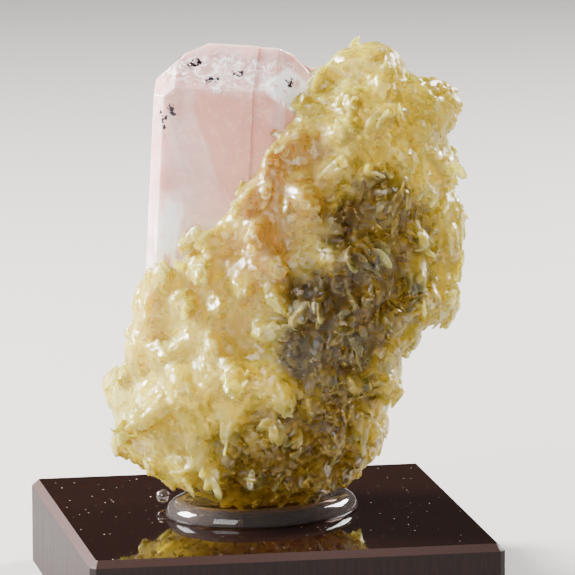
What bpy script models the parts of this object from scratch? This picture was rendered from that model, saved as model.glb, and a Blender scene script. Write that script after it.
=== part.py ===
"""Danburite crystals grown with a crust of yellow bladed calcite, set in clear putty on a display block.

The specimen is laid out in its own frame: u to the right, v away from the viewer and z up from the
block's top face. An empty turns that frame on the block and lifts it to the block's top.
"""

import math
import random

import bmesh
import bpy
from mathutils import Matrix, Vector, noise

MM = 0.001
# Clear space left between neighbouring pieces
GAP = 0.3 * MM

# Display block: a square slab of smoked acrylic with milled edges
BLOCK_SIDE = 60.0 * MM
BLOCK_HEIGHT = 12.5 * MM
BLOCK_CHAMFER = 1.0 * MM
BLOCK_CORNER = 0.8 * MM

# The specimen is turned a little from the block's front
SPECIMEN_TURN = math.radians(-10.4)

# Putty bed: an oval pat with a rounded rim and a pressed-in middle
PUTTY_LONG = 15.0 * MM
PUTTY_SHORT = 12.0 * MM
PUTTY_TURN = math.radians(35.0)
PUTTY_RIM_HEIGHT = 2.4 * MM
PUTTY_FLOOR_HEIGHT = 1.3 * MM
PUTTY_RIM_WIDTH = 4.0 * MM
PUTTY_SIDES = 36
PUTTY_RIM_STEPS = 7

# Putty pellet: a crumb squeezed out at the left of the bed
PELLET_PLACE = Vector((-14.6, 3.2, 1.5)) * MM
PELLET_HALF = Vector((1.05, 1.0, 1.1)) * MM
PELLET_ROUGHNESS = 0.18
PELLET_DENTS = 1.7

# Danburite's orthorhombic cell, which sets the angle of every face: a along u, b along v, c along z
CELL = (8.04, 8.75, 7.73)
CRYSTALS_LEAN = math.radians(3.0)
CRYSTALS_SPIN = math.radians(-5.0)
CRYSTALS_PIVOT = Vector((-4.5, 0.0, 45.0)) * MM
# The crystals end flat inside the crust, at this height in millimetres
CRYSTALS_FOOT = ((0, 0, -1), (0, 0, 22.0))
# Side of the raw cube that each crystal is cut from
CRYSTAL_BLANK = 200.0 * MM

# Each crystal lists its faces: Miller indices, and a point in millimetres that the face passes through
LEFT_CRYSTAL = (
    ((-1, 0, 0), (-15.8, 0, 0)),
    ((1, 0, 0), (-1.3, 0, 0)),
    ((0, -1, 0), (0, -7.0, 0)),
    ((0, 1, 0), (0, 6.6, 0)),
    ((-1, -1, 0), (-15.8, -5.3, 0)),
    ((-1, 1, 0), (-15.8, 2.6, 0)),
    ((0, -1, 1), (0, -0.4, 68.9)),
    ((0, 1, 1), (0, -0.4, 68.9)),
    ((-1, 0, 2), (-8.6, 0, 68.9)),
    ((-1, 0, 1), (-12.0, 0, 67.2)),
    ((-1, -1, 1), (-14.6, -4.6, 63.4)),
)
RIGHT_CRYSTAL = (
    ((-1, 0, 0), (-2.5, 0, 0)),
    ((1, 0, 0), (7.3, 0, 0)),
    ((0, -1, 0), (0, -6.3, 0)),
    ((0, 1, 0), (0, 6.0, 0)),
    ((1, -1, 0), (7.3, -2.0, 0)),
    ((1, 1, 0), (7.3, 2.0, 0)),
    ((0, -1, 1), (0, -0.2, 68.8)),
    ((0, 1, 1), (0, -0.2, 68.8)),
    ((1, 0, 2), (1.4, 0, 68.8)),
    ((1, 0, 1), (3.8, 0, 67.5)),
    ((2, 0, 1), (6.2, 0, 65.4)),
    ((1, -1, 1), (5.8, -3.4, 61.9)),
)
REAR_CRYSTAL = (
    ((-1, 0, 0), (1.0, 0, 0)),
    ((1, 0, 0), (12.2, 0, 0)),
    ((0, -1, 0), (0, 4.0, 0)),
    ((0, 1, 0), (0, 12.6, 0)),
    ((1, 1, 0), (12.2, 9.0, 0)),
    ((-1, 1, 0), (1.0, 9.6, 0)),
    ((1, -1, 0), (12.2, 6.5, 0)),
    ((0, -1, 1), (0, 8.4, 65.0)),
    ((0, 1, 1), (0, 8.4, 65.0)),
    ((1, 0, 1), (11.0, 0, 65.0)),
    ((-1, 0, 1), (2.4, 0, 65.0)),
)

# The crust's outline seen from the front, as stations (z, u) in millimetres up its left and right edges
CRUST_LEFT = (
    (1.3, -8.0), (3.0, -14.6), (5.4, -17.6), (8.2, -21.6), (12.0, -22.8), (17.5, -23.4), (21.0, -22.2),
    (24.0, -19.8), (33.0, -18.4), (36.0, -16.6), (41.0, -10.8), (48.0, -4.6), (55.0, -0.2), (60.0, 2.8),
    (64.0, 7.6), (67.5, 10.6), (70.0, 13.4),
)
CRUST_RIGHT = (
    (1.3, 8.0), (3.0, 13.6), (8.0, 16.9), (12.0, 18.6), (18.0, 20.9), (23.0, 21.8), (26.8, 24.0),
    (30.0, 27.2), (34.0, 28.5), (40.0, 29.7), (44.0, 29.3), (47.0, 29.9), (51.0, 29.0), (56.0, 28.2),
    (60.0, 27.4), (62.6, 26.0), (64.4, 22.8), (67.0, 21.0), (70.0, 17.0),
)
# Its ridge towards the viewer and its back, as stations (z, u, v)
CRUST_FRONT = (
    (1.3, -2.0, -8.0), (6.0, -3.0, -13.0), (14.0, -2.5, -16.5), (24.0, 0.0, -18.0), (34.0, 3.5, -17.5),
    (44.0, 7.5, -16.0), (54.0, 12.0, -13.5), (62.0, 15.5, -10.0), (67.0, 16.5, -6.0), (70.0, 15.2, -2.0),
)
CRUST_BACK = (
    (1.3, 0.0, 8.0), (6.0, -1.0, 12.5), (14.0, -1.0, 15.5), (24.0, 1.0, 16.5), (34.0, 6.0, 16.0),
    (44.0, 11.0, 15.0), (54.0, 15.0, 13.0), (62.0, 17.0, 9.5), (67.0, 16.8, 5.5), (70.0, 15.2, 2.0),
)
# How far back its left edge lies, as stations (z, v): higher up it climbs the front of the crystals
CRUST_LEFT_DEPTH = (
    (1.3, 0.0), (28.0, 0.0), (38.0, -6.0), (44.0, -8.2), (58.0, -8.0), (64.0, -5.0), (70.0, 0.0),
)
# Below 1 a quarter of the outline bulges, at 1 it is an ellipse, above 1 it flattens towards a ridge
CRUST_QUARTER_POWERS = (1.22, 1.18, 1.0, 1.1)
# The outline is drawn as it is seen from this far above the level
VIEW_RISE = math.radians(9.88)
# The body stays inside the outline by this much, and the blades reach it
CRUST_INSET = 1.2 * MM
CRUST_TOP_INSET = 1.0 * MM
CRUST_LEVELS = 20
CRUST_SIDES = 28
# Lumps on the body, as (spacing, height): broad swellings, then the crags between blades
LUMPS = ((8.0 * MM, 2.8 * MM), (2.3 * MM, 1.9 * MM))

# Blades fused to the crust, which lie nearly flat and share a direction over each patch
BLADE_COUNT = 180
BLADE_SPACING = 4.7 * MM
BLADE_LENGTHS = (6.2 * MM, 9.2 * MM)
BLADE_SLIMNESS = 0.58
BLADE_THICKNESS = 0.21
BLADE_BURIED = 0.35
BLADE_BEVEL = 0.55
# Half of a blade's outline from its root to near its tip, as (share of length, share of half width)
BLADE_OUTLINE = ((0.0, 0.6), (0.5, 1.0), (0.85, 0.66))
BLADE_RISES = (math.radians(8), math.radians(28))
BLADE_ROLL = math.radians(22)
BLADE_SCATTER = math.radians(26)
PATCH_SIZE = 15.0 * MM
PATCH_SWING = math.radians(290)
BLADE_TRIES = 12
BLADE_OVERHANG = 0.5 * MM
BLADE_LOWEST = PUTTY_RIM_HEIGHT + 1.2 * MM
STEEPEST_ROOT = 0.9
BLADE_SEED = 11


def clear_scene():
    for obj in list(bpy.data.objects):
        bpy.data.objects.remove(obj)


def make_material(name, colour, roughness, transmission=0.0, ior=1.5):
    material = bpy.data.materials.new(name)
    material.use_nodes = True
    shader = material.node_tree.nodes["Principled BSDF"]
    shader.inputs["Base Color"].default_value = (*colour, 1.0)
    shader.inputs["Roughness"].default_value = roughness
    shader.inputs["Metallic"].default_value = 0.0
    shader.inputs["Transmission Weight"].default_value = transmission
    shader.inputs["IOR"].default_value = ior
    material.diffuse_color = (*colour, 1.0)
    return material


def object_from(bm, name, material=None, parent=None):
    bmesh.ops.recalc_face_normals(bm, faces=bm.faces)
    mesh = bpy.data.meshes.new(name)
    bm.to_mesh(mesh)
    bm.free()
    obj = bpy.data.objects.new(name, mesh)
    bpy.context.scene.collection.objects.link(obj)
    obj.parent = parent
    if material:
        mesh.materials.append(material)
    return obj


def loft(bm, rings):
    """Skins a stack of rings of vertices and closes both ends."""
    sides = len(rings[0])
    for lower, upper in zip(rings, rings[1:]):
        for k in range(sides):
            after = (k + 1) % sides
            bm.faces.new((lower[k], lower[after], upper[after], upper[k]))
    bm.faces.new(rings[0])
    bm.faces.new(rings[-1])


def apply_boolean(obj, others, operation):
    """Joins or cuts obj with the other objects, which are then removed."""
    operands = bpy.data.collections.new("operands")
    bpy.context.scene.collection.children.link(operands)
    for other in others:
        operands.objects.link(other)
    modifier = obj.modifiers.new(operation.lower(), "BOOLEAN")
    modifier.operation = operation
    modifier.solver = "EXACT"
    modifier.operand_type = "COLLECTION"
    modifier.collection = operands
    bpy.context.view_layer.update()
    graph = bpy.context.evaluated_depsgraph_get()
    result = bpy.data.meshes.new_from_object(obj.evaluated_get(graph))
    obj.modifiers.clear()
    obj.data = result
    for other in others:
        bpy.data.objects.remove(other)
    bpy.data.collections.remove(operands)


def along_stations(stations, z):
    """Reads stations (z, value, ...) at height z, on the smooth curve that passes through them."""
    heights = [station[0] * MM for station in stations]
    z = min(max(z, heights[0]), heights[-1])
    below = sum(height <= z for height in heights[1:-1])
    span = heights[below + 1] - heights[below]
    share = (z - heights[below]) / span

    def slope(number, column):
        before = max(number - 1, 0)
        after = min(number + 1, len(stations) - 1)
        return (stations[after][column] - stations[before][column]) * MM / (heights[after] - heights[before])

    values = []
    for column in range(1, len(stations[0])):
        start = stations[below][column] * MM
        end = stations[below + 1][column] * MM
        values.append(
            start * (2 * share**3 - 3 * share**2 + 1)
            + end * (3 * share**2 - 2 * share**3)
            + slope(below, column) * span * (share**3 - 2 * share**2 + share)
            + slope(below + 1, column) * span * (share**3 - share**2)
        )
    return values


def make_block():
    bm = bmesh.new()
    bmesh.ops.create_cube(bm, size=1.0)
    bmesh.ops.scale(bm, vec=(BLOCK_SIDE, BLOCK_SIDE, BLOCK_HEIGHT), verts=bm.verts)
    bmesh.ops.translate(bm, vec=(0, 0, BLOCK_HEIGHT / 2), verts=bm.verts)
    uprights = [e for e in bm.edges if abs(e.verts[0].co.z - e.verts[1].co.z) > BLOCK_HEIGHT / 2]
    bmesh.ops.bevel(bm, geom=uprights, offset=BLOCK_CORNER, segments=1, affect="EDGES")
    top_edges = [e for e in bm.edges if all(v.co.z > BLOCK_HEIGHT / 2 for v in e.verts)]
    bmesh.ops.bevel(bm, geom=top_edges, offset=BLOCK_CHAMFER, segments=1, affect="EDGES")
    object_from(bm, "display_block", make_material("smoked_acrylic", (0.05, 0.025, 0.02), 0.15))


def putty_profile(clearance):
    """The bed's section as (distance in from its edge, height), over the rim and down to the middle."""
    profile = [(0.0, 0.0 if clearance else GAP)]
    for step in range(PUTTY_RIM_STEPS + 1):
        angle = math.pi * step / PUTTY_RIM_STEPS
        inward = PUTTY_RIM_WIDTH * (1 - math.cos(angle)) / 2
        foot = profile[0][1] if angle < math.pi / 2 else PUTTY_FLOOR_HEIGHT
        height = foot + (PUTTY_RIM_HEIGHT - foot) * math.sin(angle) + clearance
        if height > profile[0][1]:
            profile.append((inward, height))
    return profile


def make_putty(name, clearance, parent, material=None):
    """An oval pat whose outline and heights are both larger by the clearance."""
    turn = Matrix.Rotation(PUTTY_TURN, 3, "Z")
    bm = bmesh.new()
    rings = []
    for inward, height in putty_profile(clearance):
        long_half = PUTTY_LONG + clearance - inward
        short_half = PUTTY_SHORT + clearance - inward
        ring = []
        for k in range(PUTTY_SIDES):
            around = 2 * math.pi * k / PUTTY_SIDES
            place = Vector((long_half * math.cos(around), short_half * math.sin(around), height))
            ring.append(bm.verts.new(turn @ place))
        rings.append(ring)
    loft(bm, rings)
    return object_from(bm, name, material, parent)


def make_pellet(name, clearance, parent, material=None):
    half = PELLET_HALF + Vector((clearance, clearance, clearance))
    bm = bmesh.new()
    bmesh.ops.create_icosphere(bm, subdivisions=2, radius=1.0)
    for vert in bm.verts:
        swell = 1 + PELLET_ROUGHNESS * noise.noise(vert.co * PELLET_DENTS)
        vert.co = vert.co * half * swell + PELLET_PLACE
    return object_from(bm, name, material, parent)


def face_normal(indices):
    return Vector(index / length for index, length in zip(indices, CELL)).normalized()


def crystals_placing():
    """Leans and turns the upright crystals about their pivot."""
    lean = Matrix.Rotation(CRYSTALS_LEAN, 4, "Y") @ Matrix.Rotation(CRYSTALS_SPIN, 4, "Z")
    return Matrix.Translation(CRYSTALS_PIVOT) @ lean @ Matrix.Translation(-CRYSTALS_PIVOT)


def inside_crystals(point):
    upright = crystals_placing().inverted() @ point
    for faces in (LEFT_CRYSTAL, RIGHT_CRYSTAL, REAR_CRYSTAL):
        if all(face_normal(indices).dot(upright - Vector(on_face) * MM) < 0 for indices, on_face in faces):
            return True
    return False


def make_crystal(name, faces, clearance, parent, material=None):
    """A convex crystal cut from a blank by its faces, each moved out by the clearance."""
    bm = bmesh.new()
    bmesh.ops.create_cube(bm, size=CRYSTAL_BLANK)
    for indices, on_face in (*faces, CRYSTALS_FOOT):
        normal = face_normal(indices)
        place = Vector(on_face) * MM + normal * clearance
        whole = bm.verts[:] + bm.edges[:] + bm.faces[:]
        cut = bmesh.ops.bisect_plane(bm, geom=whole, plane_co=place, plane_no=normal, clear_outer=True)
        rim = [element for element in cut["geom_cut"] if isinstance(element, bmesh.types.BMEdge)]
        bmesh.ops.edgeloop_fill(bm, edges=rim)
    bm.transform(crystals_placing())
    return object_from(bm, name, material, parent)


def make_danburite(name, clearance, parent, material=None):
    """The three crystals grown side by side, joined in one solid."""
    crystals = make_crystal(name, LEFT_CRYSTAL, clearance, parent, material)
    others = [
        make_crystal("right_crystal", RIGHT_CRYSTAL, clearance, parent),
        make_crystal("rear_crystal", REAR_CRYSTAL, clearance, parent),
    ]
    apply_boolean(crystals, others, "UNION")
    return crystals


def crust_ring(z):
    """The crust's outline at height z, drawn in four quarters between its left, front, right and back."""
    left = Vector((along_stations(CRUST_LEFT, z)[0] + CRUST_INSET, along_stations(CRUST_LEFT_DEPTH, z)[0]))
    right = Vector((along_stations(CRUST_RIGHT, z)[0] - CRUST_INSET, 0.0))
    front = Vector(along_stations(CRUST_FRONT, z)) + Vector((0.0, CRUST_INSET))
    back = Vector(along_stations(CRUST_BACK, z)) - Vector((0.0, CRUST_INSET))
    quarters = ((left, front), (right, front), (right, back), (left, back))
    steps = CRUST_SIDES // 4
    points = []
    for number, ((side, end), power) in enumerate(zip(quarters, CRUST_QUARTER_POWERS)):
        for k in range(steps):
            step = k if number % 2 == 0 else steps - k
            angle = math.pi / 2 * step / steps
            u = end.x + (side.x - end.x) * math.cos(angle) ** power
            v = side.y + (end.y - side.y) * math.sin(angle) ** power
            outward = Vector((u - end.x, v - side.y, 0.0)).normalized()
            point = Vector((u, v, z))
            swell = sum(noise.noise(point / spacing) * height for spacing, height in LUMPS)
            points.append(point + outward * swell * math.sin(angle))
    return points


def make_crust_body(parent, material):
    """A lumpy mass inside the crust's outline, which carries the blades."""
    low = CRUST_LEFT[0][0] * MM
    high = CRUST_LEFT[-1][0] * MM
    bm = bmesh.new()
    rings = []
    for level in range(CRUST_LEVELS):
        share = level / (CRUST_LEVELS - 1)
        sink = Vector((0.0, 0.0, CRUST_TOP_INSET * share**4))
        rings.append([bm.verts.new(point - sink) for point in crust_ring(low + (high - low) * share)])
    loft(bm, rings)
    bmesh.ops.triangulate(bm, faces=bm.faces)
    return object_from(bm, "calcite_crust", material, parent)


def blade_rings(place, axis, face, length):
    """A blade's outline at its base and on its upper side, each from its root round its tip."""
    half_width = length * BLADE_SLIMNESS / 2
    side = axis.cross(face).normalized()
    root = place - axis * length * BLADE_BURIED
    mirrored = [(along, -width) for along, width in reversed(BLADE_OUTLINE)]
    outline = [*BLADE_OUTLINE, (1.0, 0.0), *mirrored]
    rings = []
    for size, lift in ((1.0, 0.0), (BLADE_BEVEL, length * BLADE_THICKNESS)):
        ring = []
        for along, width in outline:
            forward = axis * length * (0.5 + (along - 0.5) * size)
            ring.append(root + forward + side * width * half_width * size + face * lift)
        rings.append(ring)
    return rings


def make_blade(rings, parent):
    """A flat tongue-shaped crystal rooted under the surface, with a bevel round its upper side."""
    bm = bmesh.new()
    loft(bm, [[bm.verts.new(point) for point in ring] for ring in rings])
    return object_from(bm, "blade", None, parent)


def blade_places(body):
    """Evenly spaced points on the body's open surface, each with the surface's normal."""
    draw = random.Random(BLADE_SEED)
    faces = [face for face in body.data.polygons if abs(face.normal.z) < STEEPEST_ROOT]
    areas = [face.area for face in faces]
    places = []
    for face in draw.choices(faces, areas, k=BLADE_COUNT * 20):
        corner = body.data.vertices[draw.choice(face.vertices)].co
        place = face.center.lerp(corner, draw.random())
        crowded = any((place - other).length < BLADE_SPACING for other, _ in places)
        if place.z > PUTTY_RIM_HEIGHT and not crowded and not inside_crystals(place):
            places.append((place, face.normal.copy()))
    return places[:BLADE_COUNT]


def blade_pose(place, normal, lift, draw):
    """Lays a blade down the slope, turned as its patch is turned and with its tip lifted off the surface."""
    swing = PATCH_SWING * noise.noise(place / PATCH_SIZE) + draw.uniform(-BLADE_SCATTER, BLADE_SCATTER)
    rise = draw.uniform(*BLADE_RISES) * lift
    roll = draw.uniform(-BLADE_ROLL, BLADE_ROLL)
    down = (Vector((0, 0, -1)) + normal * normal.z).normalized()
    along = Matrix.Rotation(swing, 3, normal) @ down
    axis = (along * math.cos(rise) + normal * math.sin(rise)).normalized()
    upright = (normal - axis * normal.dot(axis)).normalized()
    return axis, Matrix.Rotation(roll, 3, axis) @ upright, draw.uniform(*BLADE_LENGTHS)


def inside_outline(point):
    """Whether a blade's point is clear of the putty and inside the crust's outline and the block's edge."""
    seen = point.z + point.y * math.tan(VIEW_RISE)
    left = along_stations(CRUST_LEFT, seen)[0] - BLADE_OVERHANG
    right = along_stations(CRUST_RIGHT, seen)[0] + BLADE_OVERHANG
    top = CRUST_LEFT[-1][0] * MM + BLADE_OVERHANG
    on_block = Matrix.Rotation(SPECIMEN_TURN, 3, "Z") @ point
    over_block = abs(on_block.x) < BLOCK_SIDE / 2 - GAP
    return over_block and left < point.x < right and point.z > BLADE_LOWEST and seen < top


def make_blades(body, parent):
    """Each blade is turned until all but its root fits, and lies flatter with every try."""
    draw = random.Random(BLADE_SEED)
    blades = []
    for place, normal in blade_places(body):
        for attempt in range(BLADE_TRIES):
            axis, face, length = blade_pose(place, normal, 1 - attempt / BLADE_TRIES, draw)
            rings = blade_rings(place, axis, face, length)
            if all(inside_outline(point) for ring in rings for point in ring[1:-1]):
                blades.append(make_blade(rings, parent))
                break
    return blades


def keep_largest_piece(obj):
    """Removes chips that a cut has parted from the main mass."""
    bm = bmesh.new()
    bm.from_mesh(obj.data)
    unsorted = set(bm.verts)
    pieces = []
    while unsorted:
        piece = set()
        reached = [next(iter(unsorted))]
        while reached:
            vert = reached.pop()
            if vert not in piece:
                piece.add(vert)
                reached.extend(edge.other_vert(vert) for edge in vert.link_edges)
        pieces.append(piece)
        unsorted -= piece
    pieces.sort(key=len)
    for chip in pieces[:-1]:
        bmesh.ops.delete(bm, geom=list(chip), context="VERTS")
    bm.to_mesh(obj.data)
    bm.free()


def make_crust(parent):
    """The crust with its blades, cut to sit round the crystals, on the putty and clear of the pellet."""
    crust = make_crust_body(parent, make_material("yellow_calcite", (0.72, 0.62, 0.26), 0.35))
    apply_boolean(crust, make_blades(crust, parent), "UNION")
    cutters = [
        make_danburite("crystal_cutter", GAP, parent),
        make_putty("putty_cutter", GAP, parent),
        make_pellet("pellet_cutter", 2 * GAP, parent),
    ]
    apply_boolean(crust, cutters, "DIFFERENCE")
    keep_largest_piece(crust)


def main():
    clear_scene()
    make_block()
    specimen = bpy.data.objects.new("specimen_frame", None)
    bpy.context.scene.collection.objects.link(specimen)
    specimen.location.z = BLOCK_HEIGHT
    specimen.rotation_euler.z = SPECIMEN_TURN
    putty = make_material("clear_putty", (0.72, 0.66, 0.64), 0.2, transmission=0.8, ior=1.45)
    make_putty("putty_bed", 0.0, specimen, putty)
    make_pellet("putty_pellet", 0.0, specimen, putty)
    danburite = make_material("danburite", (0.92, 0.76, 0.72), 0.1, transmission=0.7, ior=1.63)
    make_danburite("danburite_crystals", 0.0, specimen, danburite)
    make_crust(specimen)


main()
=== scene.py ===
"""Looks of a danburite specimen: pink crystals and a bladed calcite crust, in clear putty on a smoked block.

The specimen's own frame has u to the right, v away from the viewer and z up from the block's top face.
"""

import math

import bmesh
import bpy
from mathutils import Euler, Matrix, Vector, bvhtree, noise


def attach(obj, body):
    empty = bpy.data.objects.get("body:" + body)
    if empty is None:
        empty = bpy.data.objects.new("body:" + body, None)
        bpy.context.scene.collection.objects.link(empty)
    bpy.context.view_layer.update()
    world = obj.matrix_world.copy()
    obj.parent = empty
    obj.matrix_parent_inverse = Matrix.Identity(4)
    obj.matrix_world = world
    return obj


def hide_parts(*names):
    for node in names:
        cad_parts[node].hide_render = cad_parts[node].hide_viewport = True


MM = 0.001
# Corners of a CAD mesh that are nearer than this are one
MERGE_REACH = 0.001 * MM

# Where the specimen's frame stands on the block
SPECIMEN_TURN = math.radians(-10.4)
TO_BLOCK = Matrix.Rotation(SPECIMEN_TURN, 3, "Z")
BLOCK_TOP = Vector((0.0, 0.0, 12.5 * MM))

# Kinds of node that come often
MATH = "ShaderNodeMath"
MIX = "ShaderNodeMix"
NOISE = "ShaderNodeTexNoise"
PATCHES = "ShaderNodeTexVoronoi"
RANGE = "ShaderNodeMapRange"
VECTOR = "ShaderNodeVectorMath"
# The middle of the colours that give each patch its numbers
MIDDLE = (0.5, 0.5, 0.5)


def linear(code):
    """A colour given as sRGB hex, in the linear values that shaders take."""
    parts = [int(code[k : k + 2], 16) / 255 for k in (1, 3, 5)]
    return (*[c / 12.92 if c <= 0.04045 else ((c + 0.055) / 1.055) ** 2.4 for c in parts], 1.0)


def feed(tree, node, inputs):
    """Sets a node's inputs, in order or by name or number, to values, sockets or what other nodes give."""
    for key, value in inputs.items() if isinstance(inputs, dict) else enumerate(inputs):
        if isinstance(value, bpy.types.Node):
            value = next(socket for socket in value.outputs if socket.enabled)
        if isinstance(value, bpy.types.NodeSocket):
            tree.links.new(value, node.inputs[key])
        else:
            node.inputs[key].default_value = value


def add(tree, kind, inputs=(), **settings):
    """Adds a node with its own settings and what feeds it."""
    made = tree.nodes.new(kind)
    for name, value in settings.items():
        setattr(made, name, value)
    feed(tree, made, inputs)
    return made


def on_specimen(point):
    """A point of the specimen's frame in the block's frame."""
    return TO_BLOCK @ Vector(point) + BLOCK_TOP


def mesh_object(name, mesh):
    """An object for a mesh, at the origin."""
    obj = bpy.data.objects.new(name, mesh)
    bpy.context.scene.collection.objects.link(obj)
    return obj


def loft(bm, rings):
    """Skins a stack of rings of points and closes both ends."""
    rings = [[bm.verts.new(point) for point in ring] for ring in rings]
    for lower, upper in zip(rings, rings[1:]):
        for k in range(len(lower)):
            after = (k + 1) % len(lower)
            bm.faces.new((lower[k], lower[after], upper[after], upper[k]))
    bm.faces.new(rings[0])
    bm.faces.new(rings[-1])


def finish_mesh(name, bm, smooth=False):
    """An object for closed forms whose faces are turned outwards."""
    bmesh.ops.recalc_face_normals(bm, faces=bm.faces)
    mesh = bpy.data.meshes.new(name)
    bm.to_mesh(mesh)
    bm.free()
    if smooth:
        mesh.shade_smooth()
    return mesh_object(name, mesh)


def merged_copy(name, source):
    """A CAD node's shape as a new closed mesh."""
    bm = bmesh.new()
    bm.from_mesh(source.data)
    bmesh.ops.remove_doubles(bm, verts=bm.verts, dist=MERGE_REACH)
    mesh = bpy.data.meshes.new(name)
    bm.to_mesh(mesh)
    bm.free()
    return mesh_object(name, mesh)


def settle(obj):
    """Makes a piece's modifiers part of its mesh."""
    bpy.context.view_layer.update()
    graph = bpy.context.evaluated_depsgraph_get()
    mesh = bpy.data.meshes.new_from_object(obj.evaluated_get(graph))
    mesh.name = obj.name
    obj.modifiers.clear()
    obj.data = mesh
    return obj


def dress(obj, material, slot, *nodes):
    """Gives a finished piece its material; a piece that stands for nodes is attached to the root body, and
    these nodes are hidden. The slot is not used.
    """
    obj.data.materials.clear()
    obj.data.materials.append(material)
    if nodes:
        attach(obj, "root")
        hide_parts(*nodes)


# Patterns

# Fine plates of calcite: how far one patch reaches, a plate's three sizes, and how far it slants
PLATE_PATCH = 3.5 * MM
PLATE_SIZE = (1.9 * MM, 0.7 * MM, 0.9 * MM)
PLATE_SLANT = 0.55
# How many lines a plate has along each of its sizes
PLATE_LINES = (0.7, 2.2, 1.3)


def new_material(name):
    """A material with its tree and its surface shader."""
    material = bpy.data.materials.new(name)
    material.use_nodes = True
    tree = material.node_tree
    return material, tree, tree.nodes["Principled BSDF"]


def clouds(tree, place, size, low, high, start=0.0, end=1.0, detail=3.0):
    """Soft patches about size across: start where the noise is under low, and end where it is over high."""
    raw = add(tree, NOISE, {"Vector": place, "Scale": 1 / size, "Detail": detail})
    return add(tree, RANGE, (raw, low, high, start, end))


def drawn_out(tree, place, sizes, detail):
    """Noise whose patches have a size of their own along each axis."""
    drawn = add(tree, "ShaderNodeMapping", {"Vector": place, "Scale": [1 / size for size in sizes]})
    return add(tree, NOISE, {"Vector": drawn, "Scale": 1.0, "Detail": detail})


def layered(tree, ground, layers):
    """Lays colours over the ground in turn. A layer is its share, the most that it covers, and its colour."""
    for share, most, colour in layers:
        covered = add(tree, MATH, (share, most), operation="MULTIPLY")
        ground, colour = [linear(tone) if isinstance(tone, str) else tone for tone in (ground, colour)]
        ground = add(tree, MIX, {0: covered, 6: ground, 7: colour}, data_type="RGBA")
    return ground


def plates(tree, place):
    """Thin plates side by side, turned patch by patch: their slanted normal, own number and fine lines."""
    patch = add(tree, PATCHES, {"Vector": place, "Scale": 1 / PLATE_PATCH}).outputs["Color"]
    turns = add(tree, VECTOR, {0: patch, "Scale": 2 * math.pi}, operation="SCALE")
    turned = add(tree, "ShaderNodeVectorRotate", {
        "Vector": place, "Rotation": turns,
    }, rotation_type="EULER_XYZ")
    drawn = add(tree, VECTOR, (turned, [1 / side for side in PLATE_SIZE]), operation="MULTIPLY")
    cell = add(tree, PATCHES, {"Vector": drawn, "Scale": 1.0}).outputs["Color"]
    slant = add(tree, VECTOR, (cell, MIDDLE), operation="SUBTRACT")
    slant = add(tree, VECTOR, {0: slant, "Scale": PLATE_SLANT}, operation="SCALE")
    normal = add(tree, "ShaderNodeNewGeometry").outputs["Normal"]
    normal = add(tree, VECTOR, (normal, slant), operation="ADD")
    normal = add(tree, VECTOR, (normal,), operation="NORMALIZE")
    own = add(tree, "ShaderNodeSeparateColor", (cell,)).outputs["Red"]
    thin = add(tree, VECTOR, (drawn, PLATE_LINES), operation="MULTIPLY")
    lines = add(tree, NOISE, {"Vector": thin, "Scale": 1.0, "Detail": 2.5})
    return normal, own, lines


def zone(tree, place, centre, halves, wander, soft, tilt=0.0):
    """1 inside an ellipsoid that leans by tilt in the specimen's frame, falling softly to 0 outside."""
    apart = add(tree, "ShaderNodeMapping", {
        "Vector": place, "Location": on_specimen([c * MM for c in centre]),
        "Rotation": (0.0, tilt, SPECIMEN_TURN), "Scale": [h * MM for h in halves],
    }, vector_type="TEXTURE")
    far = add(tree, VECTOR, (apart,), operation="LENGTH")
    far = add(tree, MATH, (far, wander), operation="ADD")
    return add(tree, RANGE, (far, *soft, 1.0, 0.0), interpolation_type="SMOOTHSTEP")


def cut_back(tree, place, share, planes):
    """Keeps a share on the side of each plane that its normal points to, in the specimen's frame."""
    for point, across, soft in planes:
        normal = TO_BLOCK @ Vector(across).normalized()
        level = on_specimen([c * MM for c in point]).dot(normal)
        far = add(tree, VECTOR, (place, normal), operation="DOT_PRODUCT")
        near = add(tree, RANGE, (far, level - soft, level + soft))
        share = add(tree, MATH, (share, near), operation="MULTIPLY")
    return share


# Materials

# The saw's upright marks, the cutter's steps along a bevel, and the space that one speck of dust has
SAW_MARK = (0.4 * MM, 0.4 * MM, 11.1 * MM)
MILLING_STEP = 0.36 * MM
DUST_SPACE = 1.2 * MM
# A streak of bubbles in the danburite, and the patches that its healed cracks and painted glints run round
BUBBLE_STREAK = (1.11 * MM, 1.11 * MM, 3.85 * MM)
CRACK_AND_GLINT_LINES = 2.2 * MM
# Zones in the specimen's frame, as (centre, half sizes) in millimetres
# The tan zone is painted shade, where the light from behind ends inside the crystal
TAN_SHADE = ((-4.0, -7.0, 56.0), (7.0, 8.0, 10.0))
MILKY_FOOT = ((-13.0, -6.0, 41.5), (3.4, 6.0, 8.5))
MILKY_CROWN = ((-4.0, -4.0, 65.5), (11.0, 9.0, 2.6))
REAR_CRYSTAL = ((10.0, 4.0, 62.0), (5.0, 7.0, 9.0))
# Dark specks, a painted reflection: where open cracks mirror the dark
DARK_SPECKS = (
    ((-9.4, -2.7, 66.7), (1.1, 1.6, 1.0)),
    ((-7.0, -5.2, 64.5), (1.3, 1.4, 0.6)),
    ((-3.2, -4.6, 65.2), (0.9, 1.4, 0.6)),
    ((4.7, -5.0, 64.2), (1.2, 2.0, 1.0)),
    ((3.9, -3.0, 66.4), (0.8, 1.4, 0.8)),
    ((-13.9, -5.5, 58.6), (0.6, 2.0, 2.0)),
    ((-12.7, -6.2, 60.4), (0.7, 2.0, 1.0)),
)
# Painted shade: the middle of the crust, which faces away from the light, also standing for its thicker,
# darker body
PAINTED_SHADE_MIDDLE = ((13.0, -12.0, 33.0), (10.5, 16.0, 25.0))
# Painted shade: the crust darker towards the bottom
PAINTED_SHADE_FOOT = ((5.0, -12.0, 6.0), (17.0, 16.0, 13.0))
WARM_BAND = ((2.5, -12.0, 46.0), (7.0, 12.0, 16.0))
CRUST_LEAN = math.radians(21)
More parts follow.
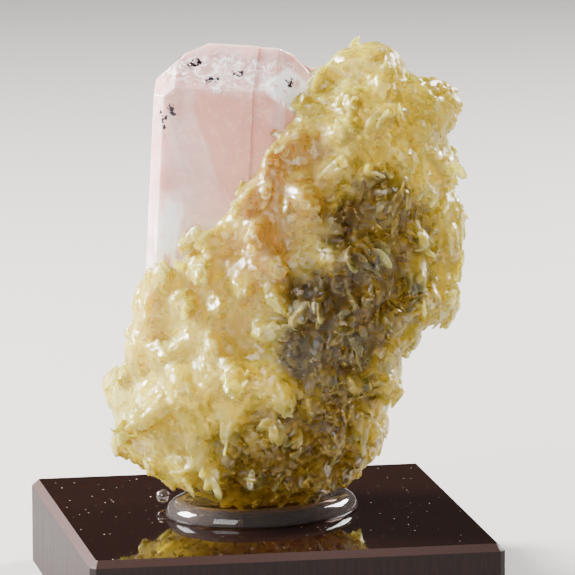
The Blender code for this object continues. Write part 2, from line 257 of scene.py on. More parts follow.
# Planes that end the painted tan shade and the painted white flash, as (point in millimetres, normal,
# softness)
TAN_PLANES = (
    ((-10.4, -7.0, 63.0), (0.95, 0.0, 0.31), 0.25 * MM),
    ((-5.0, -7.0, 62.6), (0.0, 0.0, -1.0), 0.8 * MM),
)
PAINTED_FLASH_PLANES = (
    ((0.0, -2.0, 0.0), (0.0, -1.0, 0.0), 0.5 * MM),
    ((-0.2, -6.0, 63.5), (0.6, 0.0, 0.8), 0.25 * MM),
    ((-0.2, -6.0, 63.5), (0.5, 0.0, -0.86), 0.25 * MM),
)


def smoked_acrylic():
    """Cast acrylic, tinted smoky brown: its top is polished and dusty, its sides are as the saw left them."""
    material, tree, shader = new_material("cast_acrylic_smoked")
    spot = add(tree, "ShaderNodeTexCoord").outputs
    place = spot["Object"]
    upward = add(tree, "ShaderNodeSeparateXYZ", (spot["Normal"],)).outputs["Z"]
    top = add(tree, RANGE, (upward, 0.8, 0.95))
    side = add(tree, RANGE, (upward, 0.3, 0.15))
    marks = drawn_out(tree, place, SAW_MARK, 3.0)
    # Milled bevels: light and dark steps
    across = add(tree, "ShaderNodeSeparateXYZ", (place,)).outputs
    along = add(tree, MATH, (across["X"], across["Y"]), operation="ADD")
    turns = add(tree, MATH, (along, 2 * math.pi / MILLING_STEP), operation="MULTIPLY")
    steps = add(tree, RANGE, (add(tree, MATH, (turns,), operation="SINE"), -0.2, 0.9))
    # Dust: specks about 0.2 mm wide, some brighter than others
    cells = add(tree, PATCHES, {"Vector": place, "Scale": 1 / DUST_SPACE}).outputs
    chosen = add(tree, "ShaderNodeSeparateColor", (cells["Color"],)).outputs["Red"]
    dust = add(tree, RANGE, (cells["Distance"], 0.1, 0.04))
    for share in (add(tree, RANGE, (chosen, 0.45, 0.85)), top):
        dust = add(tree, MATH, (dust, share), operation="MULTIPLY")
    smooth = add(tree, "ShaderNodeNewGeometry").outputs["Normal"]
    sawn = add(tree, "ShaderNodeBump", {"Height": marks, "Strength": 0.35, "Distance": 0.05 * MM})
    rough = add(tree, RANGE, (marks, 0.3, 0.7, 0.5, 0.7))
    for share, value in ((top, 0.04), (dust, 0.8)):
        rough = add(tree, MIX, {0: share, 2: rough, 3: value})
    streaks = add(tree, RANGE, (marks, 0.35, 0.65))
    cut = layered(tree, "#0C0503", ((streaks, 1.0, "#261512"),))
    milled = layered(tree, "#20110E", ((steps, 1.0, "#50352F"),))
    feed(tree, shader, {
        "Base Color": layered(tree, milled, (
            (side, 1.0, cut),
            (top, 1.0, "#160906"),
            (dust, 1.0, "#F4DCC4"),
        )),
        "Roughness": rough,
        "Normal": add(tree, MIX, {0: side, 4: smooth, 5: sawn}, data_type="VECTOR"),
        "IOR": 1.49,
        "Specular IOR Level": 0.28,
    })
    return material


def clear_putty():
    """Clear mounting putty, rolled by hand: a soft grey gel with a wet gloss."""
    material, tree, shader = new_material("mounting_putty_clear")
    haze = add(tree, "ShaderNodeVolumeAbsorption", {"Color": linear("#A88C80"), "Density": 160.0})
    feed(tree, tree.nodes["Material Output"], {"Volume": haze})
    feed(tree, shader, {
        "Base Color": linear("#E6D8D2"), "Roughness": 0.08, "Transmission Weight": 0.96, "IOR": 1.4,
    })
    return material


def danburite():
    """Danburite, grown: glassy faces over a body that milky veils make pale pink, with painted tan shade, a
    painted white flash, painted glints and painted dark reflections.
    """
    material, tree, shader = new_material("danburite_pink")
    place = add(tree, "ShaderNodeTexCoord").outputs["Object"]
    wander = clouds(tree, place, 5 * MM, 0.3, 0.7, -0.3, 0.3)
    fine = add(tree, NOISE, {"Vector": place, "Scale": 1 / (0.9 * MM), "Detail": 6.0})
    # Painted shade: a tan zone where the light from behind ends, cut off by planes
    tan_shade = cut_back(tree, place, zone(tree, place, *TAN_SHADE, wander, (0.7, 1.1)), TAN_PLANES)
    foot = zone(tree, place, *MILKY_FOOT, wander, (0.1, 1.2))
    crown = zone(tree, place, *MILKY_CROWN, wander, (0.7, 1.1))
    rear = zone(tree, place, *REAR_CRYSTAL, 0.0, (0.8, 1.0))
    # The milky foot, and a wedge painted white as a highlight where a fracture mirrors the light, both in
    # streaks of fine bubbles drawn out along the crystals' length
    bubbles = add(tree, RANGE, (drawn_out(tree, place, BUBBLE_STREAK, 5.0), 0.35, 0.5))
    painted_flash = cut_back(tree, place, 1.0, PAINTED_FLASH_PLANES)
    whiter = add(tree, MATH, (foot, painted_flash), operation="MAXIMUM")
    veils_and_highlights = add(tree, MATH, (whiter, bubbles), operation="MULTIPLY")
    # Milk in the crown
    milk = add(tree, RANGE, (fine, 0.45, 0.65, 0.0, 0.6))
    milk = add(tree, MATH, (crown, milk), operation="MULTIPLY")
    # Healed cracks, which also serve as painted glints: thin white lines that wander, closest at the crown
    level = add(tree, NOISE, {"Vector": place, "Scale": 1 / CRACK_AND_GLINT_LINES, "Detail": 8.0})
    level = add(tree, MATH, (level, 0.5), operation="SUBTRACT")
    cracks_and_glints = add(tree, RANGE, (add(tree, MATH, (level,), operation="ABSOLUTE"), 0.025, 0.01))
    for share in (clouds(tree, place, 1.3 * MM, 0.4, 0.5), add(tree, RANGE, (crown, 0.0, 1.0, 0.15, 1.0))):
        cracks_and_glints = add(tree, MATH, (cracks_and_glints, share), operation="MULTIPLY")
    for layer in (milk, cracks_and_glints):
        veils_and_highlights = add(tree, MATH, (veils_and_highlights, layer), operation="MAXIMUM")
    # Painted dark reflection: specks where the open cracks' mirror films show dark
    ragged = add(tree, RANGE, (fine, 0.3, 0.7, -0.5, 0.5))
    speck = 0.0
    for centre, halves in DARK_SPECKS:
        near = zone(tree, place, centre, halves, ragged, (0.75, 0.95))
        speck = add(tree, MATH, (speck, near), operation="MAXIMUM")
    speck = add(tree, MATH, (speck, clouds(tree, place, 0.5 * MM, 0.45, 0.5)), operation="MULTIPLY")
    # Light goes through where no veil, painted highlight, painted dark speck or rear crystal is in its way
    clear = clouds(tree, place, 6 * MM, 0.35, 0.65, 0.5, 0.25, detail=5.0)
    clear = add(tree, MATH, (crown, 0.2, clear), operation="MULTIPLY_ADD")
    solid = veils_and_highlights
    for layer in (speck, rear):
        solid = add(tree, MATH, (solid, layer), operation="ADD")
    clear = add(tree, MATH, (solid, -0.7, clear), operation="MULTIPLY_ADD", use_clamp=True)
    mist = add(tree, "ShaderNodeVolumeAbsorption", {"Color": linear("#F7CFC6"), "Density": 8.0})
    feed(tree, tree.nodes["Material Output"], {"Volume": mist})
    feed(tree, shader, {
        "Base Color": layered(tree, "#FFC4BC", (
            (clouds(tree, place, 4 * MM, 0.35, 0.65), 1.0, "#FFDCD6"),
            (tan_shade, 0.8, "#E8A890"),
            (rear, 1.0, "#B07C70"),
            (veils_and_highlights, 1.0, "#FFFFFF"),
            (speck, 1.0, "#15101C"),
        )),
        "Roughness": add(tree, RANGE, (fine, 0.45, 0.7, 0.03, 0.12)),
        "Transmission Weight": clear,
        "IOR": 1.63,
        "Subsurface Weight": 1.0,
        "Subsurface Radius": (1.0, 0.75, 0.7),
        "Subsurface Scale": 1.5 * MM,
    })
    return material


def open_fracture():
    """An open crack inside a crystal: its film of air mirrors like silver."""
    material, tree, shader = new_material("danburite_fracture")
    place = add(tree, "ShaderNodeTexCoord").outputs["Object"]
    feed(tree, shader, {
        "Base Color": linear("#FBF8FA"),
        "Metallic": 1.0,
        "Roughness": clouds(tree, place, 0.8 * MM, 0.4, 0.6, 0.05, 0.5),
    })
    return material


def yellow_calcite():
    """Bladed calcite, grown: translucent yellow, waxy, with painted shade over its middle and foot and a
    painted glow at each blade's thin rim.
    """
    material, tree, shader = new_material("calcite_yellow")
    place = add(tree, "ShaderNodeTexCoord").outputs["Object"]
    wander = clouds(tree, place, 8 * MM, 0.3, 0.7, -0.3, 0.3)
    # Painted shade over the middle, where the crust faces away from the light
    middle = zone(tree, place, *PAINTED_SHADE_MIDDLE, wander, (0.6, 1.2), CRUST_LEAN)
    # Painted shade towards the bottom
    foot = zone(tree, place, *PAINTED_SHADE_FOOT, wander, (0.5, 1.2))
    warm = zone(tree, place, *WARM_BAND, wander, (0.55, 1.15), CRUST_LEAN)
    # Both zones of painted shade together
    dark = add(tree, MATH, (middle, foot), operation="MAXIMUM")
    slanted, own, lines = plates(tree, place)
    # Painted glow: thin rims are paler, as if lit through from behind, less so in the painted shade
    sharp = add(tree, "ShaderNodeNewGeometry").outputs["Pointiness"]
    rim = add(tree, MATH, (
        add(tree, RANGE, (sharp, 0.51, 0.58)), add(tree, RANGE, (dark, 0.0, 1.0, 1.0, 0.35)),
    ), operation="MULTIPLY")
    # Short bright lines, here and there, where a plate's edge catches the light
    lit = add(tree, MATH, (
        add(tree, RANGE, (lines, 0.6, 0.68)), clouds(tree, place, 1.8 * MM, 0.48, 0.6),
    ), operation="MULTIPLY")
    haze = add(tree, "ShaderNodeVolumeAbsorption", {"Color": linear("#EFE37C"), "Density": 100.0})
    feed(tree, tree.nodes["Material Output"], {"Volume": haze})
    feed(tree, shader, {
        "Base Color": layered(tree, "#E2CC3C", (
            (clouds(tree, place, 5 * MM, 0.35, 0.65), 1.0, "#F4E65A"),
            (clouds(tree, place, 4 * MM, 0.5, 0.64, detail=6.0), 0.35, "#FFF28C"),
            (warm, 0.65, "#CC9C4C"),
            (middle, 0.97, "#2A1806"),
            (foot, 0.94, "#301806"),
            (add(tree, RANGE, (own, 0.4, 1.0)), 0.1, "#FFF29A"),
            (add(tree, RANGE, (lines, 0.5, 0.35)), 0.25, "#7A5C18"),
            (rim, 0.6, "#F4E88C"),
            (lit, 0.7, "#FFF0B8"),
        )),
        "Roughness": clouds(tree, place, 2 * MM, 0.35, 0.65, 0.18, 0.48),
        # Less light goes through in the painted shade
        "Transmission Weight": add(tree, RANGE, (dark, 0.0, 1.0, 0.72, 0.576)),
        "Normal": slanted,
        "IOR": 1.5,
        "Specular IOR Level": 0.32,
        "Subsurface Weight": 1.0,
        "Subsurface Radius": (1.0, 0.92, 0.45),
        "Subsurface Scale": 3.0 * MM,
    })
    return material


# The crystals

# Edges are worn to a narrow bevel
CRYSTAL_EDGE = 0.18 * MM
LEAST_EDGE_ANGLE = math.radians(12)
# Clusters of small fractures under the faces, in the specimen's frame, as (centre, spread, count, size)
FRACTURES = (
    ((-9.3, -2.8, 66.0), (2.0, 0.7, 0.6), 7, 1.5),
    ((-7.0, -5.0, 63.9), (1.2, 0.4, 0.6), 4, 1.2),
    ((-3.0, -4.4, 64.6), (1.0, 0.5, 0.5), 4, 1.0),
    ((-13.2, -4.2, 59.0), (0.8, 0.5, 2.0), 6, 1.4),
    ((4.2, -5.0, 63.4), (1.8, 0.5, 1.2), 9, 1.5),
    ((1.4, -4.6, 62.6), (1.0, 0.6, 1.4), 5, 1.5),
    ((-13.4, -4.0, 42.0), (1.2, 0.6, 4.0), 7, 1.5),
    ((-6.0, -4.0, 66.8), (5.0, 0.8, 0.6), 5, 0.9),
)
# A fracture's cross-section, as (share of its reach, share of its gape)
FRACTURE_LENS = ((0.04, -1.0), (0.6, -0.8), (1.0, 0.0), (0.6, 0.8), (0.04, 1.0))
FRACTURE_SIDES = 20
FRACTURE_GAPE = 0.03 * MM
# The smallest is this share of its cluster's size. Its width is the slimmest share of its length, or up to
# the widening more
FRACTURE_SMALLEST = 0.4
FRACTURE_SLIMMEST = 0.35
FRACTURE_WIDENING = 0.5
# Its film waves, and its outline is ragged: how far, how finely, and how unlike the next one's
FRACTURE_WAVE = 0.35 * MM
FRACTURE_WAVE_LENGTH = 1.1 * MM
FRACTURE_RAGGED = 0.6
FRACTURE_NOTCHES = 2.2
FRACTURE_APART = 3.7
# It lies this deep at least, and takes steps inwards until it does
FRACTURE_DEEP = 0.25 * MM
FRACTURE_STEP = Vector((0.0, 0.4 * MM, -0.2 * MM))
FRACTURE_TRIES = 8
FRACTURE_SEED = 5


def make_crystals(nodes):
    """The crystals with their edges worn."""
    piece = merged_copy("danburite_group", nodes["danburite_crystals"])
    bevel = piece.modifiers.new("worn_edges", "BEVEL")
    bevel.width = CRYSTAL_EDGE
    bevel.segments = 2
    bevel.limit_method = "ANGLE"
    bevel.angle_limit = LEAST_EDGE_ANGLE
    return settle(piece)


def fracture_rings(centre, size, turn, number):
    """A wavy lens of air with a ragged outline, as rings of points."""
    slim = FRACTURE_SLIMMEST + FRACTURE_WIDENING * noise.random()
    rings = []
    for share, gape in FRACTURE_LENS:
        ring = []
        for k in range(FRACTURE_SIDES):
            angle = 2 * math.pi * k / FRACTURE_SIDES
            spoke = Vector((math.cos(angle), math.sin(angle), FRACTURE_APART * number))
            reach = share * size * (1 + FRACTURE_RAGGED * noise.noise(spoke * FRACTURE_NOTCHES))
            flat = Vector((spoke.x * reach, spoke.y * reach * slim, gape * FRACTURE_GAPE))
            wave = Vector((flat.x, flat.y, number * MM)) / FRACTURE_WAVE_LENGTH
            flat.z += FRACTURE_WAVE * noise.noise(wave)
            ring.append(on_specimen(turn @ flat + centre))
        rings.append(ring)
    return rings


def make_fractures(crystals):
    """Small open cracks, each pushed inwards until it lies wholly inside the crystals."""
    surface = bvhtree.BVHTree.FromObject(crystals, bpy.context.evaluated_depsgraph_get())

    def inside(point):
        near, normal, _, _ = surface.find_nearest(point)
        return (point - near).dot(normal) < 0 and (point - near).length > FRACTURE_DEEP

    noise.seed_set(FRACTURE_SEED)
    bm = bmesh.new()
    number = 0
    for centre, spread, count, size in FRACTURES:
        for _ in range(count):
            number += 1
            apart = noise.random_vector()
            place = Vector([(c + a * s) * MM for c, a, s in zip(centre, apart, spread)])
            turns = noise.random_vector() * math.pi
            turn = Euler(turns).to_matrix()
            share = FRACTURE_SMALLEST + (1 - FRACTURE_SMALLEST) * noise.random()
            reach = share * size * MM
            for attempt in range(FRACTURE_TRIES):
                rings = fracture_rings(place + FRACTURE_STEP * attempt, reach, turn, number)
                if all(inside(point) for ring in rings for point in ring):
                    loft(bm, rings)
                    break
    return finish_mesh("danburite_fractures", bm, smooth=True)


# The putty

PUTTY_LONG = 15.0 * MM
PUTTY_SHORT = 12.0 * MM
PUTTY_TURN = math.radians(35.0)
PUTTY_RIM_HEIGHT = 2.4 * MM
PUTTY_FLOOR_HEIGHT = 1.3 * MM
PUTTY_RIM_WIDTH = 4.0 * MM
PUTTY_FOOT = 0.04 * MM
PUTTY_UNDERSIDE = 0.29 * MM
PUTTY_SIDES = 120
PUTTY_STEPS = 20
PUTTY_LUMP = 0.22 * MM
PUTTY_LUMP_RISE = 0.6
PUTTY_LUMPS = 2.1
PUTTY_LUMPS_START = Vector((4.0, 0.0, 0.0))


def make_putty():
    """The pat, pressed flat onto the block, with finger waves round its rim."""
    rings = []
    for step in range(-1, PUTTY_STEPS + 1):
        angle = math.pi * max(step, 0) / PUTTY_STEPS
        inward = PUTTY_RIM_WIDTH * (1 - math.cos(angle)) / 2
        foot = PUTTY_FOOT if angle < math.pi / 2 else PUTTY_FLOOR_HEIGHT
        height = foot + (PUTTY_RIM_HEIGHT - foot) * math.sin(angle)
        ring = []
        for k in range(PUTTY_SIDES):
            around = 2 * math.pi * k / PUTTY_SIDES
            spoke = Vector((math.cos(around), math.sin(around), 0.0))
            lump = PUTTY_LUMP * noise.noise(spoke * PUTTY_LUMPS + PUTTY_LUMPS_START)
            inset = inward + (PUTTY_UNDERSIDE if step < 0 else 0.0) - lump
            flat = Vector((spoke.x * (PUTTY_LONG - inset), spoke.y * (PUTTY_SHORT - inset), height))
            flat.z += PUTTY_LUMP_RISE * lump * math.sin(angle)
            ring.append(on_specimen(Matrix.Rotation(PUTTY_TURN, 3, "Z") @ flat))
        rings.append(ring)
    bm = bmesh.new()
    loft(bm, rings)
    return finish_mesh("putty_pat", bm, smooth=True)


def make_pellet(nodes):
    """The crumb, rounded between the fingers."""
    piece = merged_copy("putty_crumb", nodes["putty_pellet"])
    rounding = piece.modifiers.new("rounding", "SUBSURF")
    rounding.levels = 2
    rounding.render_levels = 2
    settle(piece).data.shade_smooth()
    return piece


# The crust

# The base under the blades
CRUST_SHRINK = -0.2 * MM
BASE_VOXEL = 0.45 * MM
BASE_SMOOTHING = 24
CALM_SMOOTHING = 30
# Rounded lobes at the crust's upper right, and where it covers the danburite's lower end,
# as (centre, half sizes) in millimetres in the specimen's frame
CRUST_LOBES = (
    ((16.3, -1.5, 65.4), (4.8, 5.0, 4.4)),
    ((12.8, -2.0, 66.2), (3.0, 3.5, 2.8)),
    ((24.4, -1.0, 59.6), (4.3, 5.0, 4.6)),
    ((25.8, -1.0, 42.5), (4.0, 6.0, 6.0)),
    ((25.0, -1.0, 33.0), (3.6, 6.0, 5.4)),
    ((-15.6, -4.0, 34.0), (1.9, 4.5, 4.0)),
    ((-15.8, -4.0, 29.5), (2.4, 5.0, 4.0)),
    ((-17.0, -4.0, 25.0), (3.2, 5.5, 4.0)),
)

# Where blades grow: clear of the neighbouring pieces, and between two heights above the block, in millimetres
HIDDEN_REACH = 0.9 * MM
LOWEST_BLADE = 2.5
HIGHEST_BLADE = 66.8
# The front is calm at the left and ruffled at the right of a curve: u in powers of z, from the zeroth
RUFFLE_CURVE = (-5.0, 0.22, 0.003)
RUFFLE_START = -3.0
RUFFLE_WIDTH = 7.0
BACK_START = 2.0
BACK_RUFFLE = 0.6

# The blades
BLADE_SEED = 7
BLADE_SIZES = (
    ("Spacing", 0.8 * MM),
    ("Density", 1500000.0),
    ("Patch size", 4.5 * MM),
    ("Length", 3.0 * MM),
    ("Slimness", 0.45),
    ("Thickness", 0.08),
    ("Hang", 0.6),
    ("Rise", 0.16),
    ("Roll", 0.5),
    ("Scatter", 0.13),
)
# How far a blade's own length and slimness stray, and how deep it is sunk, as shares
LENGTH_STRAY = (0.6, 1.3)
SLIMNESS_STRAY = (0.75, 1.3)
BLADE_SUNK = (-0.08, -0.01)
RUFFLE_LIFT = 0.05
# What the patches' numbers are multiplied by and moved by to give shares of roll and rise
SECOND_READING = (7.31, 5.17, 0.0)
SECOND_START = (-0.5, 0.15, 0.0)
# Roll and rise grow with the ruffle: roll by the first number from the second, rise from its start
ROLL_GROWTH = (2.0, 0.3)
RISE_START = -0.3
# Shares of the scatter about the blade's own axes
SCATTER_SHARES = (1.0, 0.6, 1.0)
# A blade's outline: how blunt the tip of each kind is, and its sides, its flat face's share, its widening
BLADE_BLUNTNESS = (0.75, 0.6, 1.0)
BLADE_SIDES_BLUNT = 0.9
BLADE_FLAT = 0.86
BLADE_FLARE = 0.12
BLADE_CORNERS = 12
# Steps of smoothing that make the normals that the blades lie on
LAY_BLUR = 14

# The crust as one skin
CRUST_VOXEL = 0.21 * MM
CRUST_TRIANGLES = 190000
CRUST_CREASE = math.radians(50)


def blade_shape(name, blunt):
    """A tongue-shaped crystal, one unit long from its root, flat on both sides with a thin rim."""
    rings = []
    for size, lift in ((BLADE_FLAT, -0.5), (1.0, 0.0), (BLADE_FLAT, 0.5)):
        ring = []
        for k in range(BLADE_CORNERS):
            angle = 2 * math.pi * k / BLADE_CORNERS
            along = math.copysign(abs(math.cos(angle)) ** blunt, math.cos(angle))
            across = math.copysign(abs(math.sin(angle)) ** BLADE_SIDES_BLUNT, math.sin(angle))
            wide = 1.0 + BLADE_FLARE * along
            ring.append(Vector((0.5 + 0.5 * along * size, 0.5 * across * size * wide, lift)))
        rings.append(ring)
    bm = bmesh.new()
    loft(bm, rings)
    return finish_mesh(name, bm)


def blade_tree(name, blades, material):
    """Covers a surface with blades that share a direction over each patch."""
    tree = bpy.data.node_groups.new(name, "GeometryNodeTree")
    face = tree.interface
    face.new_socket("Geometry", in_out="INPUT", socket_type="NodeSocketGeometry")
    for label, value in BLADE_SIZES:
        face.new_socket(label, in_out="INPUT", socket_type="NodeSocketFloat").default_value = value
    face.new_socket("Seed", in_out="INPUT", socket_type="NodeSocketInt").default_value = BLADE_SEED
    face.new_socket("Geometry", in_out="OUTPUT", socket_type="NodeSocketGeometry")
    given = add(tree, "NodeGroupInput").outputs
    ruffle = add(tree, "GeometryNodeInputNamedAttribute", {"Name": "ruffle"})

    def chance(low, high, offset):
        """A random number for each point; each offset draws its own."""
        seed = add(tree, MATH, (given["Seed"], offset), operation="ADD")
        return add(tree, "FunctionNodeRandomValue", {2: low, 3: high, "Seed": seed})

    # Points on the open surface, which keep the smoothed normal that their blades lie on
    blurred = add(tree, "GeometryNodeBlurAttribute", {
        "Value": add(tree, "GeometryNodeInputNormal"), "Iterations": LAY_BLUR,
    }, data_type="FLOAT_VECTOR")
    laid = add(tree, "GeometryNodeStoreNamedAttribute", {
        "Geometry": given["Geometry"], "Name": "lay", "Value": blurred,
    }, data_type="FLOAT_VECTOR", domain="POINT")
    growing = add(tree, "GeometryNodeInputNamedAttribute", {"Name": "open"})
    spread = add(tree, "GeometryNodeDistributePointsOnFaces", {
        "Mesh": laid, "Distance Min": given["Spacing"], "Density Max": given["Density"],
        "Density Factor": growing, "Seed": given["Seed"],
    }, distribute_method="POISSON")

    # Each patch has a direction of its own, and hangs a little
    per_metre = add(tree, MATH, (1.0, given["Patch size"]), operation="DIVIDE")
    patch = add(tree, PATCHES, {
        "Vector": add(tree, "GeometryNodeInputPosition"), "Scale": per_metre, "Randomness": 1.0,
    }).outputs["Color"]
    toward = add(tree, VECTOR, (patch, MIDDLE), operation="SUBTRACT")
    hang = add(tree, "ShaderNodeCombineXYZ", {"Z": given["Hang"]})
    toward = add(tree, VECTOR, (toward, hang), operation="SUBTRACT")
    lay = add(tree, "GeometryNodeInputNamedAttribute", {"Name": "lay"}, data_type="FLOAT_VECTOR")
    stand = add(tree, "FunctionNodeAlignRotationToVector", {"Vector": lay}, axis="Z")
    turned = add(tree, "FunctionNodeAlignRotationToVector", {
        "Rotation": stand, "Vector": toward,
    }, axis="X", pivot_axis="Z")

    # Roll and rise come from a second reading of the patches, so that they don't follow the direction
    roll = add(tree, MATH, (ruffle, *ROLL_GROWTH), operation="MULTIPLY_ADD")
    rise = add(tree, MATH, (RISE_START, ruffle), operation="SUBTRACT")
    most = add(tree, "ShaderNodeCombineXYZ", (
        add(tree, MATH, (given["Roll"], roll), operation="MULTIPLY"),
        add(tree, MATH, (given["Rise"], rise), operation="MULTIPLY"),
    ))
    jitter = add(tree, "ShaderNodeCombineXYZ", [chance(-1.0, 1.0, k) for k in (1, 2, 3)])
    jitter = add(tree, VECTOR, {0: jitter, "Scale": given["Scatter"]}, operation="SCALE")
    jitter = add(tree, VECTOR, (jitter, SCATTER_SHARES), operation="MULTIPLY")
    second = add(tree, VECTOR, (patch, SECOND_READING), operation="MULTIPLY")
    second = add(tree, VECTOR, (second,), operation="FRACTION")
    second = add(tree, VECTOR, (second, SECOND_START), operation="ADD")
    tilt = add(tree, VECTOR, (second, most, jitter), operation="MULTIPLY_ADD")
    posed = add(tree, "FunctionNodeRotateRotation", {
        "Rotation": turned, "Rotate By": add(tree, "FunctionNodeEulerToRotation", (tilt,)),
    }, rotation_space="LOCAL")

    # A blade's middle lies on its point, sunk a little, and less where the crust is ruffled
    length = add(tree, MATH, (given["Length"], chance(*LENGTH_STRAY, 6)), operation="MULTIPLY")
    sunk = add(tree, MATH, (ruffle, RUFFLE_LIFT, chance(*BLADE_SUNK, 9)), operation="MULTIPLY_ADD")
    shift = add(tree, "ShaderNodeCombineXYZ", {"X": -0.5, "Z": sunk})
    shift = add(tree, VECTOR, {0: shift, "Scale": length}, operation="SCALE")
    shift = add(tree, "FunctionNodeRotateVector", {"Vector": shift, "Rotation": posed})
    stacked = add(tree, "GeometryNodeSetPosition", {"Geometry": spread, "Offset": shift})
    slim = add(tree, MATH, (given["Slimness"], chance(*SLIMNESS_STRAY, 7)), operation="MULTIPLY")
    size = add(tree, "ShaderNodeCombineXYZ", (1.0, slim, given["Thickness"]))
    size = add(tree, VECTOR, {0: size, "Scale": length}, operation="SCALE")

    source = add(tree, "GeometryNodeCollectionInfo", {
        "Collection": blades, "Separate Children": True, "Reset Children": True,
    })
    placed = add(tree, "GeometryNodeInstanceOnPoints", {
        "Points": stacked, "Instance": source, "Pick Instance": True, "Rotation": posed, "Scale": size,
    })
    joined = add(tree, "GeometryNodeJoinGeometry")
    for shape in (given["Geometry"], add(tree, "GeometryNodeRealizeInstances", {"Geometry": placed})):
        feed(tree, joined, (shape,))
    dressed = add(tree, "GeometryNodeSetMaterial", {"Geometry": joined, "Material": material})
    add(tree, "NodeGroupOutput", (dressed,))
    return tree


def mark_base(obj, neighbours):
    """Marks each corner of the base: open or hidden from blades, how ruffled, and how calm."""
    surfaces = []
    for neighbour in neighbours:
        bm = bmesh.new()
        bm.from_mesh(neighbour.data)
        surfaces.append(bvhtree.BVHTree.FromBMesh(bm))
        bm.free()
    marks = {"open": [], "ruffle": []}
    calm = obj.vertex_groups.new(name="calm")
    for vert in obj.data.vertices:
        u, v, z = TO_BLOCK.transposed() @ (vert.co - BLOCK_TOP) / MM
        hidden = any(surface.find_nearest(vert.co, HIDDEN_REACH)[0] is not None for surface in surfaces)
        marks["open"].append(1.0 if not hidden and LOWEST_BLADE < z < HIGHEST_BLADE else 0.0)
        curve = sum(factor * z**power for power, factor in enumerate(RUFFLE_CURVE))
        ruffle = min(max((u - curve - RUFFLE_START) / RUFFLE_WIDTH, 0.0), 1.0)
        marks["ruffle"].append(ruffle if v < BACK_START else BACK_RUFFLE)
        calm.add([vert.index], 1.0 - marks["ruffle"][-1], "REPLACE")
    for name, values in marks.items():
        obj.data.attributes.new(name, "FLOAT", "POINT").data.foreach_set("value", values)


def keep_largest_piece(obj):
    """Removes loose chips."""
    bm = bmesh.new()
    bm.from_mesh(obj.data)
    seen = set()
    pieces = []
    for start in bm.verts:
        if start in seen:
            continue
        piece = []
        reached = [start]
        while reached:
            vert = reached.pop()
            if vert not in seen:
                seen.add(vert)
                piece.append(vert)
                reached.extend(edge.other_vert(vert) for edge in vert.link_edges)
        pieces.append(piece)
    pieces.sort(key=len)
    chips = [vert for piece in pieces[:-1] for vert in piece]
    bmesh.ops.delete(bm, geom=chips, context="VERTS")
    bm.to_mesh(obj.data)
    bm.free()


def crust_base(nodes):
    """The crust's body with its lobes, smoothed and marked for the blades."""
    base = merged_copy("calcite_blades", nodes["calcite_crust"])
    bm = bmesh.new()
    bm.from_mesh(base.data)
    for centre, halves in CRUST_LOBES:
        place = Matrix.Translation(on_specimen([c * MM for c in centre])) @ TO_BLOCK.to_4x4()
        shape = place @ Matrix.Diagonal([h * MM for h in halves] + [1.0])
        bmesh.ops.create_icosphere(bm, subdivisions=3, radius=1.0, matrix=shape)
    bm.to_mesh(base.data)
    bm.free()
    shrink = base.modifiers.new("shrink", "DISPLACE")
    shrink.strength = CRUST_SHRINK
    shrink.mid_level = 0.0
    remesh = base.modifiers.new("remesh", "REMESH")
    remesh.mode = "VOXEL"
    remesh.voxel_size = BASE_VOXEL
    base.modifiers.new("smooth", "SMOOTH").iterations = BASE_SMOOTHING
    settle(base)
    mark_base(base, [nodes["danburite_crystals"], nodes["putty_bed"]])
    return base


def make_crust(nodes, material):
    """The base and its blades, fused into one skin."""
    crust = crust_base(nodes)
    shapes = bpy.data.collections.new("blade_shapes")
    for number, blunt in enumerate(BLADE_BLUNTNESS):
        shape = blade_shape(f"blade_{number}", blunt)
        bpy.context.scene.collection.objects.unlink(shape)
        shapes.objects.link(shape)
    calmer = crust.modifiers.new("calmer", "SMOOTH")
    calmer.iterations = CALM_SMOOTHING
    calmer.vertex_group = "calm"
    crust.modifiers.new("blades", "NODES").node_group = blade_tree("blade_cover", shapes, material)
    remesh = crust.modifiers.new("remesh", "REMESH")
    remesh.mode = "VOXEL"
    remesh.voxel_size = CRUST_VOXEL
    settle(crust)
    count = 2 * len(crust.data.polygons)
    if count > CRUST_TRIANGLES:
        crust.modifiers.new("thin", "DECIMATE").ratio = CRUST_TRIANGLES / count
        settle(crust)
    keep_largest_piece(crust)
    crust.data.shade_smooth()
    crust.data.set_sharp_from_angle(angle=CRUST_CREASE)
    return crust


# The studio

FLOOR_REACH = 4.0
# Soft boxes as (place in metres, width, power in watts), aimed at the middle of the specimen
LAMPS = (
    ((-0.50, 0.20, 0.34), 0.25, 34.0),
    ((0.46, 0.30, 0.36), 0.25, 15.0),
    ((-0.45, -0.70, 0.45), 0.50, 9.0),
)
LAMP_AIM = Vector((0.0, 0.0, 45 * MM))

# The camera, in the specimen's frame: a long lens a little above the level
CAMERA_RISE = math.radians(9.88)
CAMERA_ROLL = math.radians(-0.22)
CAMERA_AWAY = 865 * MM
CAMERA_ASIDE = 3.85 * MM
CAMERA_UP = 32.66 * MM
CAMERA_SENSOR = 36.0
CAMERA_LENS = 369.1
CAMERA_REACH = (10 * MM, 20.0)


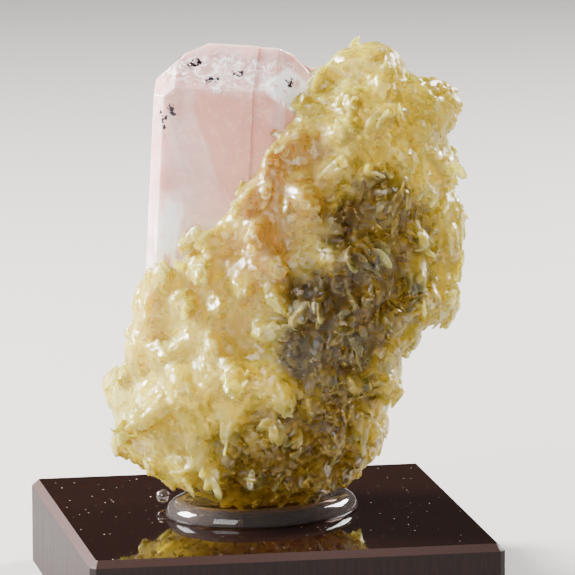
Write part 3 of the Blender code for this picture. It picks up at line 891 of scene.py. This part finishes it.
def stage():
    """A pale floor, a soft grey surround and three soft boxes."""
    bm = bmesh.new()
    bmesh.ops.create_grid(bm, x_segments=1, y_segments=1, size=FLOOR_REACH)
    mesh = bpy.data.meshes.new("floor")
    bm.to_mesh(mesh)
    bm.free()
    floor = mesh_object("floor", mesh)
    material, tree, shader = new_material("floor_matte")
    feed(tree, shader, {"Base Color": linear("#AAA7A3"), "Roughness": 0.7})
    mesh.materials.append(material)

    world = bpy.data.worlds.new("studio")
    world.use_nodes = True
    tree = world.node_tree
    feed(tree, tree.nodes["Background"], {"Color": linear("#8C8A88"), "Strength": 0.18})
    bpy.context.scene.world = world

    for place, width, power in LAMPS:
        lamp = bpy.data.lights.new("soft_box", "AREA")
        lamp.size = width
        lamp.energy = power
        obj = bpy.data.objects.new("soft_box", lamp)
        bpy.context.scene.collection.objects.link(obj)
        obj.location = place
        obj.rotation_euler = (LAMP_AIM - Vector(place)).to_track_quat("-Z", "Y").to_euler()


def camera():
    """The photograph's camera: it looks along v, turned with the specimen's frame."""
    data = bpy.data.cameras.new("camera")
    data.sensor_width = CAMERA_SENSOR
    data.lens = CAMERA_LENS
    data.clip_start, data.clip_end = CAMERA_REACH
    obj = bpy.data.objects.new("camera", data)
    bpy.context.scene.collection.objects.link(obj)
    turn = TO_BLOCK @ Matrix.Rotation(math.pi / 2 - CAMERA_RISE, 3, "X")
    turn = turn @ Matrix.Rotation(CAMERA_ROLL, 3, "Z")
    rise = Vector((0, math.sin(CAMERA_RISE), math.cos(CAMERA_RISE)))
    ahead = Vector((0, math.cos(CAMERA_RISE), -math.sin(CAMERA_RISE)))
    place = Vector((CAMERA_ASIDE, 0, 0)) + rise * CAMERA_UP - ahead * CAMERA_AWAY
    obj.matrix_world = Matrix.Translation(on_specimen(place)) @ turn.to_4x4()
    bpy.context.scene.camera = obj


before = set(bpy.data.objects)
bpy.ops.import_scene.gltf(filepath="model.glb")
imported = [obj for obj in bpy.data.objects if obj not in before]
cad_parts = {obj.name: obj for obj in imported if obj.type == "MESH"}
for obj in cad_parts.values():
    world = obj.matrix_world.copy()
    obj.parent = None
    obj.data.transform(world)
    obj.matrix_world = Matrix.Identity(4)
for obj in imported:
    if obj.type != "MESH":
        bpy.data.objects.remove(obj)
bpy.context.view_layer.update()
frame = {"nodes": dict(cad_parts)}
stage()
camera()
parts = frame["nodes"]
putty = clear_putty()
calcite = yellow_calcite()
dress(parts["display_block"], smoked_acrylic(), "smoked_acrylic")
dress(make_putty(), putty, "clear_putty", "putty_bed")
dress(make_pellet(parts), putty, "clear_putty", "putty_pellet")
crystals = make_crystals(parts)
dress(crystals, danburite(), "danburite", "danburite_crystals")
cracks = make_fractures(crystals)
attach(cracks, "root")
dress(cracks, open_fracture(), "danburite")
dress(make_crust(parts, calcite), calcite, "yellow_calcite", "calcite_crust")
